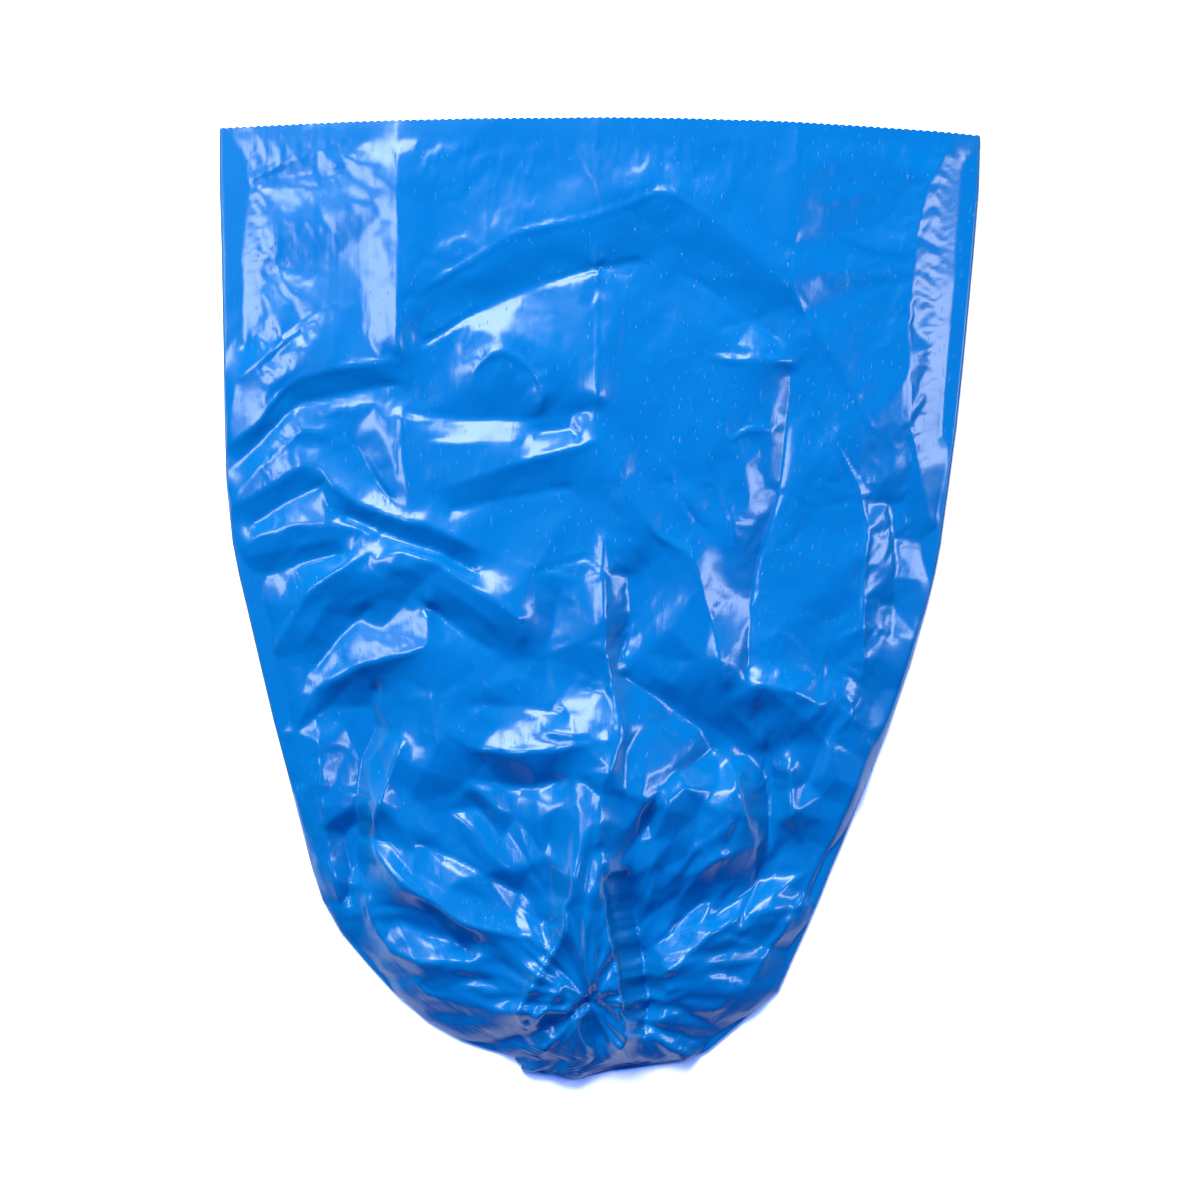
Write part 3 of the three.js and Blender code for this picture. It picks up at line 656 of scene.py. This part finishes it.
@dataclass(frozen=True)
class Settling:
    """How the film's spare length buckles into wrinkles between its folds, by cloth simulation.

    The film is light, weightless here, and held loosely all over, so that its folds stay in place.
    """

    frames: int = 12
    quality: int = 5
    mass: float = 0.02
    stiffness: float = 20.0
    shear: float = 12.0
    bending: float = 0.06
    spare_mouth: float = 0.004
    spare_seal: float = 0.03
    held_loosely: float = 0.02
    hold_levels: int = 10
    slack_levels: int = 20
    fast_edge: float = 25.0
    fast_low: float = 2.5
    fast_mouth: float = 0.03
    fast_seal: float = 0.04
    cap: float = 6.0
    lowest: float = 0.2

    def run(self, film: bpy.types.Object, plan: Plan) -> None:
        """Settles the film and puts the result in its mesh.

        Args:
            film: The film, already laid out.
            plan: The liner's plan.
        """
        data = film.data
        count = len(data.vertices)
        places = np.empty(count * 3)
        data.vertices.foreach_get("co", places)
        places = places.reshape(-1, 3) / MM
        share = np.clip((plan.lying_length / 2 - places[:, 1]) / plan.lying_length, 0.0, 1.0)
        self.mark(film, plan, places, share)
        cloth = self.make_cloth(film)
        scene = bpy.context.scene
        for frame in range(1, self.frames + 1):
            scene.frame_set(frame)
        settled = film.evaluated_get(bpy.context.evaluated_depsgraph_get())
        moved = np.empty(count * 3)
        settled.data.vertices.foreach_get("co", moved)
        shift = moved.reshape(-1, 3) / MM - places
        size = np.linalg.norm(shift, axis=1, keepdims=True)
        log.info("settled: %.2f mm on average, %.2f mm at most", size.mean(), size.max())
        places = places + shift * np.minimum(1.0, self.cap / np.maximum(size, 1e-6))
        places[:, 2] = np.maximum(places[:, 2], self.lowest)
        film.modifiers.remove(cloth)
        film.vertex_groups.clear()
        data.vertices.foreach_set("co", (places * MM).ravel())
        data.update()
        scene.frame_set(1)

    def mark(self, film: bpy.types.Object, plan: Plan, places: np.ndarray, share: np.ndarray) -> None:
        """Marks how firmly each place is held and how much spare film it has.

        Args:
            film: The film.
            plan: The liner's plan.
            places: The vertices' places in millimetres.
            share: Their shares of the length.
        """
        left, right = plan.sides(share)
        edge = np.minimum(places[:, 0] + left, right - places[:, 0])
        ends = np.clip(share / self.fast_mouth, 0, 1) * np.clip((1 - share) / self.fast_seal, 0, 1)
        free = np.clip(edge / self.fast_edge - 0.3, 0, 1) * ends
        free = np.where(places[:, 2] < self.fast_low, 0.0, free)
        freedom = np.round(free * self.hold_levels).astype(int)
        hold = film.vertex_groups.new(name="hold")
        for level in range(0, self.hold_levels + 1):
            chosen = [int(i) for i in np.where(freedom == level)[0]]
            let_go = level / self.hold_levels * (1.0 - self.held_loosely)
            hold.add(chosen, 1.0 - let_go, "REPLACE")
        spare = np.round(self.slack_levels * smooth((share - 0.3) / 0.5)).astype(int)
        slack = film.vertex_groups.new(name="slack")
        for level in range(0, self.slack_levels + 1):
            chosen = [int(i) for i in np.where(spare == level)[0]]
            slack.add(chosen, level / self.slack_levels, "REPLACE")

    def make_cloth(self, film: bpy.types.Object) -> bpy.types.Modifier:
        """Makes the film a cloth.

        Args:
            film: The film, with its two groups.

        Returns:
            The cloth modifier.
        """
        cloth = film.modifiers.new("settle", "CLOTH")
        settings = cloth.settings
        settings.quality = self.quality
        settings.mass = self.mass
        settings.tension_stiffness = settings.compression_stiffness = self.stiffness
        settings.shear_stiffness = self.shear
        settings.bending_stiffness = self.bending
        settings.vertex_group_shrink = "slack"
        settings.shrink_min = -self.spare_mouth
        settings.shrink_max = -self.spare_seal
        settings.vertex_group_mass = "hold"
        settings.pin_stiffness = 1.0
        settings.effector_weights.gravity = 0.0
        cloth.collision_settings.use_self_collision = False
        cloth.collision_settings.use_collision = False
        return cloth


@dataclass
class LinerFilm:
    """The bag itself: one tube of film, from its torn mouth round both side folds to its star seal."""

    plan: Plan
    relief: Relief
    top_columns: int = 321
    under_columns: int = 9
    rows: int = 290
    crowding: float = 0.16
    even_columns: float = 0.4
    flat_width: float = 0.610
    flat_length: float = 0.838
    least_swell: float = 0.3
    roll_mouth: float = 3.0
    roll_seal: float = 8.0
    under_height: float = 0.4
    under_edge: float = 6.0
    under_roll: float = 14.0
    ripple: Lattice = Lattice(21, (40.0, 55.0), (20.0, 20.0))
    ripple_height: float = 0.5
    ripple_edge: float = 30.0

    def build(self) -> bpy.types.Object:
        """Makes the film's mesh.

        Returns:
            The film, as one object at the origin.
        """
        mesh = bmesh.new()
        columns = self.top_columns + self.under_columns
        bmesh.ops.create_grid(mesh, x_segments=columns, y_segments=self.rows, size=1.0)
        mesh.verts.ensure_lookup_table()
        flat = np.array([vert.co[:2] for vert in mesh.verts])
        turn, share = (flat[:, 0] + 1) / 2 * columns, (1 - flat[:, 1]) / 2
        share = share + self.crowding * share * (1 - share)
        self.lay_uv(mesh, turn, share)
        for vert, place in zip(mesh.verts, self.lay(turn, share)):
            vert.co = place
        for edge in mesh.edges:
            one, other = (turn[vert.index] % columns for vert in edge.verts)
            on_left = max(one, other) < 1e-6
            on_right = one == other and abs(one - self.top_columns) < 1e-6
            if on_left or on_right:
                edge.smooth = False
        bmesh.ops.remove_doubles(mesh, verts=mesh.verts, dist=1e-5)
        bmesh.ops.recalc_face_normals(mesh, faces=mesh.faces)
        for face in mesh.faces:
            face.smooth = True
        data = bpy.data.meshes.new("liner_film")
        mesh.to_mesh(data)
        mesh.free()
        film = bpy.data.objects.new("blown_film", data)
        bpy.context.scene.collection.objects.link(film)
        return film

    def lay_uv(self, mesh: bmesh.types.BMesh, turn: np.ndarray, share: np.ndarray) -> None:
        """Gives the film its flat sheet's coordinates, in metres, as its UV map.

        Args:
            mesh: The flat grid.
            turn: Each vertex's column round the tube.
            share: Each vertex's share of the length.
        """
        layer = mesh.loops.layers.uv.new("sheet")
        top = turn / self.top_columns
        under = 1.0 + (turn - self.top_columns) / self.under_columns
        across = np.where(turn <= self.top_columns, top, under)
        for face in mesh.faces:
            for loop in face.loops:
                i = loop.vert.index
                loop[layer].uv = (across[i] * self.flat_width, (1 - share[i]) * self.flat_length)

    def lay(self, turn: np.ndarray, share: np.ndarray) -> np.ndarray:
        """Places every vertex of the film.

        Args:
            turn: Each vertex's column round the tube.
            share: Each vertex's share of the length.

        Returns:
            Rows of x, y and z in metres.
        """
        plan, top = self.plan, self.top_columns
        left, right = plan.sides(share)
        on_top = turn <= top
        part = np.where(on_top, turn / top, 1.0 - (turn - top) / self.under_columns)
        spread = 0.5 - 0.5 * np.cos(np.pi * part)
        crowded = self.even_columns * part + (1.0 - self.even_columns) * spread
        x = -left + (left + right) * np.where(on_top, part, crowded)
        edge = np.minimum(x + left, right - x)
        down = share * plan.lying_length
        bow = plan.mouth_edge(x) * (1 - share) ** 2
        at_tooth = np.round(turn).astype(int) % plan.tooth_columns == 0
        tooth = np.where(at_tooth, 0.5, -0.5) * plan.tooth_height
        bow = bow + np.where((share < 1e-6) & on_top, tooth, 0.0)
        height = np.maximum(self.relief.read(x, down + bow), plan.fold_height + self.least_swell)
        roll = self.roll_mouth + (self.roll_seal - self.roll_mouth) * share
        near = np.clip(edge / np.minimum(roll, np.maximum((left + right) / 2, 0.5)), 0, 1)
        height = plan.fold_height + (height - plan.fold_height) * np.sqrt(1 - (1 - near) ** 2)
        under = plan.fold_height * (1 - np.clip(edge / self.under_roll, 0, 1)) ** 2
        under = under + self.under_height * np.clip(edge / self.under_edge, 0, 1)
        ripple = ridged(self.ripple.at(x, down)) ** 2 * np.clip(edge / self.ripple_edge, 0, 1)
        z = np.where(on_top, height, under + self.ripple_height * ripple)
        z = np.where(share > 1 - 1e-6, plan.fold_height / 2, z)
        return np.stack([x, plan.lying_length / 2 - down - bow, z], axis=1) * MM


class Finish(Enum):
    """The finishes that the scene needs."""

    FILM = "blown_ldpe_film"
    FLOOR = "painted_studio_floor"


def linear(code: str) -> tuple[float, float, float, float]:
    """Turns an sRGB hex colour into linear light."""
    parts = (int(code[i : i + 2], 16) / 255 for i in (1, 3, 5))
    return (*(p / 12.92 if p <= 0.04045 else ((p + 0.055) / 1.055) ** 2.4 for p in parts), 1.0)


def add_node(
    tree: bpy.types.NodeTree, kind: str, settings: dict | None = None, links: dict | None = None
) -> bpy.types.Node:
    """Adds a node with its settings and links.

    Args:
        tree: The material's node tree.
        kind: The node's type name.
        settings: Values by property or input name.
        links: Output sockets by input name or number.

    Returns:
        The new node.
    """
    node = tree.nodes.new(kind)
    for name, value in (settings or {}).items():
        if name in node.inputs:
            node.inputs[name].default_value = value
        else:
            setattr(node, name, value)
    for name, socket in (links or {}).items():
        tree.links.new(socket, node.inputs[name])
    return node


@dataclass(frozen=True)
class FilmFinish:
    """Blown low-density polyethylene, pigmented blue: glossy, with faint streaks along the tube.

    The patterns' sizes are in millimetres on the flat film: the die's streaks, the handling creases,
    the crumple between them, and nicks, which are drawn coarser than real ones so that they show.
    Each bump has its strength and its height in metres.
    """

    base: str = "#005D91"
    deep: str = "#00568A"
    ior: float = 1.51
    roughness: float = 0.19
    streak_mm: float = 6.5
    streak_bump: tuple[float, float] = (0.28, 0.0006)
    wrinkle_mm: float = 11.0
    wrinkle_bump: tuple[float, float] = (0.06, 0.001)
    crumple_mm: tuple[float, float] = (34.0, 42.5)
    crumple_bump: tuple[float, float] = (0.5, 0.0012)
    nick_mm: float = 1.6
    nick_slant: float = 0.75
    nick_bump: tuple[float, float] = (0.5, 0.0003)

    def make(self) -> bpy.types.Material:
        """Makes the film's material.

        Returns:
            The material, with its patterns on the film's own UV map.
        """
        material = bpy.data.materials.new(Finish.FILM.value)
        material.use_nodes = True
        tree = material.node_tree
        tree.nodes.clear()
        sheet = add_node(tree, "ShaderNodeUVMap", {"uv_map": "sheet"}).outputs["UV"]
        cloud = add_node(
            tree, "ShaderNodeTexNoise", {"Scale": 18.0, "Detail": 4.0, "Roughness": 0.55}, {"Vector": sheet}
        )
        tint = add_node(
            tree,
            "ShaderNodeMixRGB",
            {"Color1": linear(self.base), "Color2": linear(self.deep)},
            {"Fac": cloud.outputs["Fac"]},
        )
        shader = add_node(
            tree,
            "ShaderNodeBsdfPrincipled",
            {"Roughness": self.roughness, "IOR": self.ior},
            {"Base Color": tint.outputs["Color"], "Normal": self.make_relief(tree, sheet)},
        )
        add_node(tree, "ShaderNodeOutputMaterial", {}, {"Surface": shader.outputs["BSDF"]})
        return material

    def make_relief(self, tree: bpy.types.NodeTree, sheet: bpy.types.NodeSocket) -> bpy.types.NodeSocket:
        """Makes the film's bumps, one over the other.

        Args:
            tree: The material's node tree.
            sheet: The flat film's coordinates, in metres.

        Returns:
            The socket with the bumped normal.
        """
        along = add_node(
            tree, "ShaderNodeMapping", {"Scale": (1000 / self.streak_mm, 6.0, 1.0)}, {"Vector": sheet}
        )
        streaks = add_node(
            tree,
            "ShaderNodeTexNoise",
            {"Scale": 1.0, "Detail": 4.0, "Roughness": 0.6},
            {"Vector": along.outputs["Vector"]},
        )
        creases = add_node(
            tree,
            "ShaderNodeTexVoronoi",
            {"feature": "DISTANCE_TO_EDGE", "Scale": 1000 / self.wrinkle_mm},
            {"Vector": sheet},
        )
        folded = add_node(
            tree,
            "ShaderNodeMapping",
            {"Scale": (1000 / self.crumple_mm[0], 1000 / self.crumple_mm[1], 1.0)},
            {"Vector": sheet},
        )
        crumple = add_node(
            tree,
            "ShaderNodeTexNoise",
            {
                "noise_type": "RIDGED_MULTIFRACTAL",
                "Scale": 1.0,
                "Detail": 2.0,
                "Roughness": 0.45,
                "Distortion": 0.6,
            },
            {"Vector": folded.outputs["Vector"]},
        )
        slant = add_node(
            tree,
            "ShaderNodeMapping",
            {"Rotation": (0.0, 0.0, self.nick_slant), "Scale": (1000 / self.nick_mm, 90.0, 1.0)},
            {"Vector": sheet},
        )
        scatter = add_node(
            tree, "ShaderNodeTexNoise", {"Scale": 1.0, "Detail": 1.0}, {"Vector": slant.outputs["Vector"]}
        )
        nicks = add_node(
            tree,
            "ShaderNodeMapRange",
            {"From Min": 0.70, "From Max": 0.76},
            {"Value": scatter.outputs["Fac"]},
        )
        links = {}
        for (strength, distance), height in (
            (self.streak_bump, streaks.outputs["Fac"]),
            (self.wrinkle_bump, creases.outputs["Distance"]),
            (self.crumple_bump, crumple.outputs["Fac"]),
            (self.nick_bump, nicks.outputs["Result"]),
        ):
            settings = {"Strength": strength, "Distance": distance}
            bump = add_node(tree, "ShaderNodeBump", settings, {"Height": height} | links)
            links = {"Normal": bump.outputs["Normal"]}
        return links["Normal"]


@dataclass(frozen=True)
class FloorFinish:
    """A matt white painted floor."""

    colour: str = "#FFFFF0"
    roughness: float = 0.9
    specular: float = 0.1

    def make(self) -> bpy.types.Material:
        """Makes the floor's material."""
        material = bpy.data.materials.new(Finish.FLOOR.value)
        material.use_nodes = True
        shader = material.node_tree.nodes["Principled BSDF"]
        shader.inputs["Base Color"].default_value = linear(self.colour)
        shader.inputs["Roughness"].default_value = self.roughness
        shader.inputs["Specular IOR Level"].default_value = self.specular
        return material


@dataclass(frozen=True)
class Lamp:
    """A lamp aimed at the middle of the bag. A softbox has a size in metres, the room's light none."""

    name: str
    place: tuple[float, float, float]
    power: float
    colour: str
    size: tuple[float, float] | None = None
    spread: float = 0.0
    glossy: bool = True

    def hang(self) -> None:
        """Hangs the lamp in the scene."""
        data = bpy.data.lights.new(self.name, "AREA" if self.size else "SUN")
        if self.size:
            data.shape = "RECTANGLE"
            data.size, data.size_y = self.size
        else:
            data.angle = self.spread
        data.energy, data.color = self.power, linear(self.colour)[:3]
        lamp = bpy.data.objects.new(self.name, data)
        lamp.location = self.place
        lamp.rotation_euler = (-Vector(self.place)).to_track_quat("-Z", "Y").to_euler()
        lamp.visible_glossy = self.glossy
        bpy.context.scene.collection.objects.link(lamp)


@dataclass(frozen=True)
class Studio:
    """The floor, the lights and the camera straight above.

    The key stands on the mouth's side, with a strip on each side of the bag. The film mirrors only
    these three. The room is pale near the floor and dark overhead.
    """

    floor_size: float = 8.0
    camera_height: float = 1.873
    lens_mm: float = 70.0
    sensor_mm: float = 36.0
    lamps: tuple[Lamp, ...] = (
        Lamp("key", (-0.5, 1.35, 1.35), 30.0, "#F4F8FF", (1.1, 0.6)),
        Lamp("right_strip", (1.4, 0.3, 1.35), 10.0, "#F4F8FF", (0.3, 1.0)),
        Lamp("left_strip", (-1.2, 0.5, 1.55), 10.0, "#F4F8FF", (0.35, 0.8)),
        Lamp("bounce", (-0.4, 1.5, 1.3), 26.0, "#FFFFFF", (1.6, 1.0), glossy=False),
        Lamp("overhead", (0.0, 0.0, 2.3), 62.0, "#2270FF", (2.4, 2.4), glossy=False),
        Lamp("room_light", (-0.4, 1.8, 1.3), 3.9, "#FFFFFF", spread=0.6, glossy=False),
    )
    wall: tuple[float, str] = (0.04, "#E6E8EC")
    ceiling: tuple[float, str] = (0.24, "#141C34")
    room_strength: float = 0.9

    def floor(self) -> None:
        """Lays the floor just under the bag."""
        mesh = bmesh.new()
        bmesh.ops.create_grid(mesh, x_segments=1, y_segments=1, size=self.floor_size / 2)
        data = bpy.data.meshes.new("floor")
        mesh.to_mesh(data)
        mesh.free()
        floor = bpy.data.objects.new("floor", data)
        bpy.context.scene.collection.objects.link(floor)
        data.materials.append(FloorFinish().make())

    def camera(self) -> None:
        """Hangs the camera over the bag, the mouth at the top of the picture."""
        data = bpy.data.cameras.new("camera")
        data.lens, data.sensor_width = self.lens_mm, self.sensor_mm
        camera = bpy.data.objects.new("camera", data)
        camera.location = (0.0, 0.0, self.camera_height)
        bpy.context.scene.collection.objects.link(camera)
        bpy.context.scene.camera = camera

    def lights(self) -> None:
        """Hangs the lamps and makes the room."""
        for lamp in self.lamps:
            lamp.hang()
        world = bpy.data.worlds.new("room")
        world.use_nodes = True
        tree = world.node_tree
        rays = add_node(tree, "ShaderNodeTexCoord")
        parts = add_node(tree, "ShaderNodeSeparateXYZ", {}, {"Vector": rays.outputs["Generated"]})
        ramp = add_node(tree, "ShaderNodeValToRGB", {}, {"Fac": parts.outputs["Z"]})
        for stop, (height, colour) in zip(ramp.color_ramp.elements, (self.wall, self.ceiling)):
            stop.position, stop.color = height, linear(colour)
        tree.links.new(ramp.outputs["Color"], tree.nodes["Background"].inputs["Color"])
        tree.nodes["Background"].inputs["Strength"].default_value = self.room_strength
        bpy.context.scene.world = world
        bpy.context.scene.view_settings.view_transform = "Standard"


def main() -> None:
    """Builds the film, dresses it and sets up the studio."""
    logging.basicConfig(level=logging.INFO, format="%(name)s: %(message)s")
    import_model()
    plan = Plan()
    relief = Relief(plan)
    relief.build()
    log.info("relief: %d by %d cells, %.0f mm high", *relief.heights.shape, relief.heights.max())
    film = LinerFilm(plan, relief).build()
    Settling().run(film, plan)
    film.data.materials.append(FilmFinish().make())
    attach(film, "root")
    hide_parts("liner_film")
    log.info("blown_film: %d vertices, %d faces", len(film.data.vertices), len(film.data.polygons))
    studio = Studio()
    studio.floor()
    studio.lights()
    studio.camera()
    log.info("studio: floor, lights and camera")


if __name__ == "__main__":
    main()
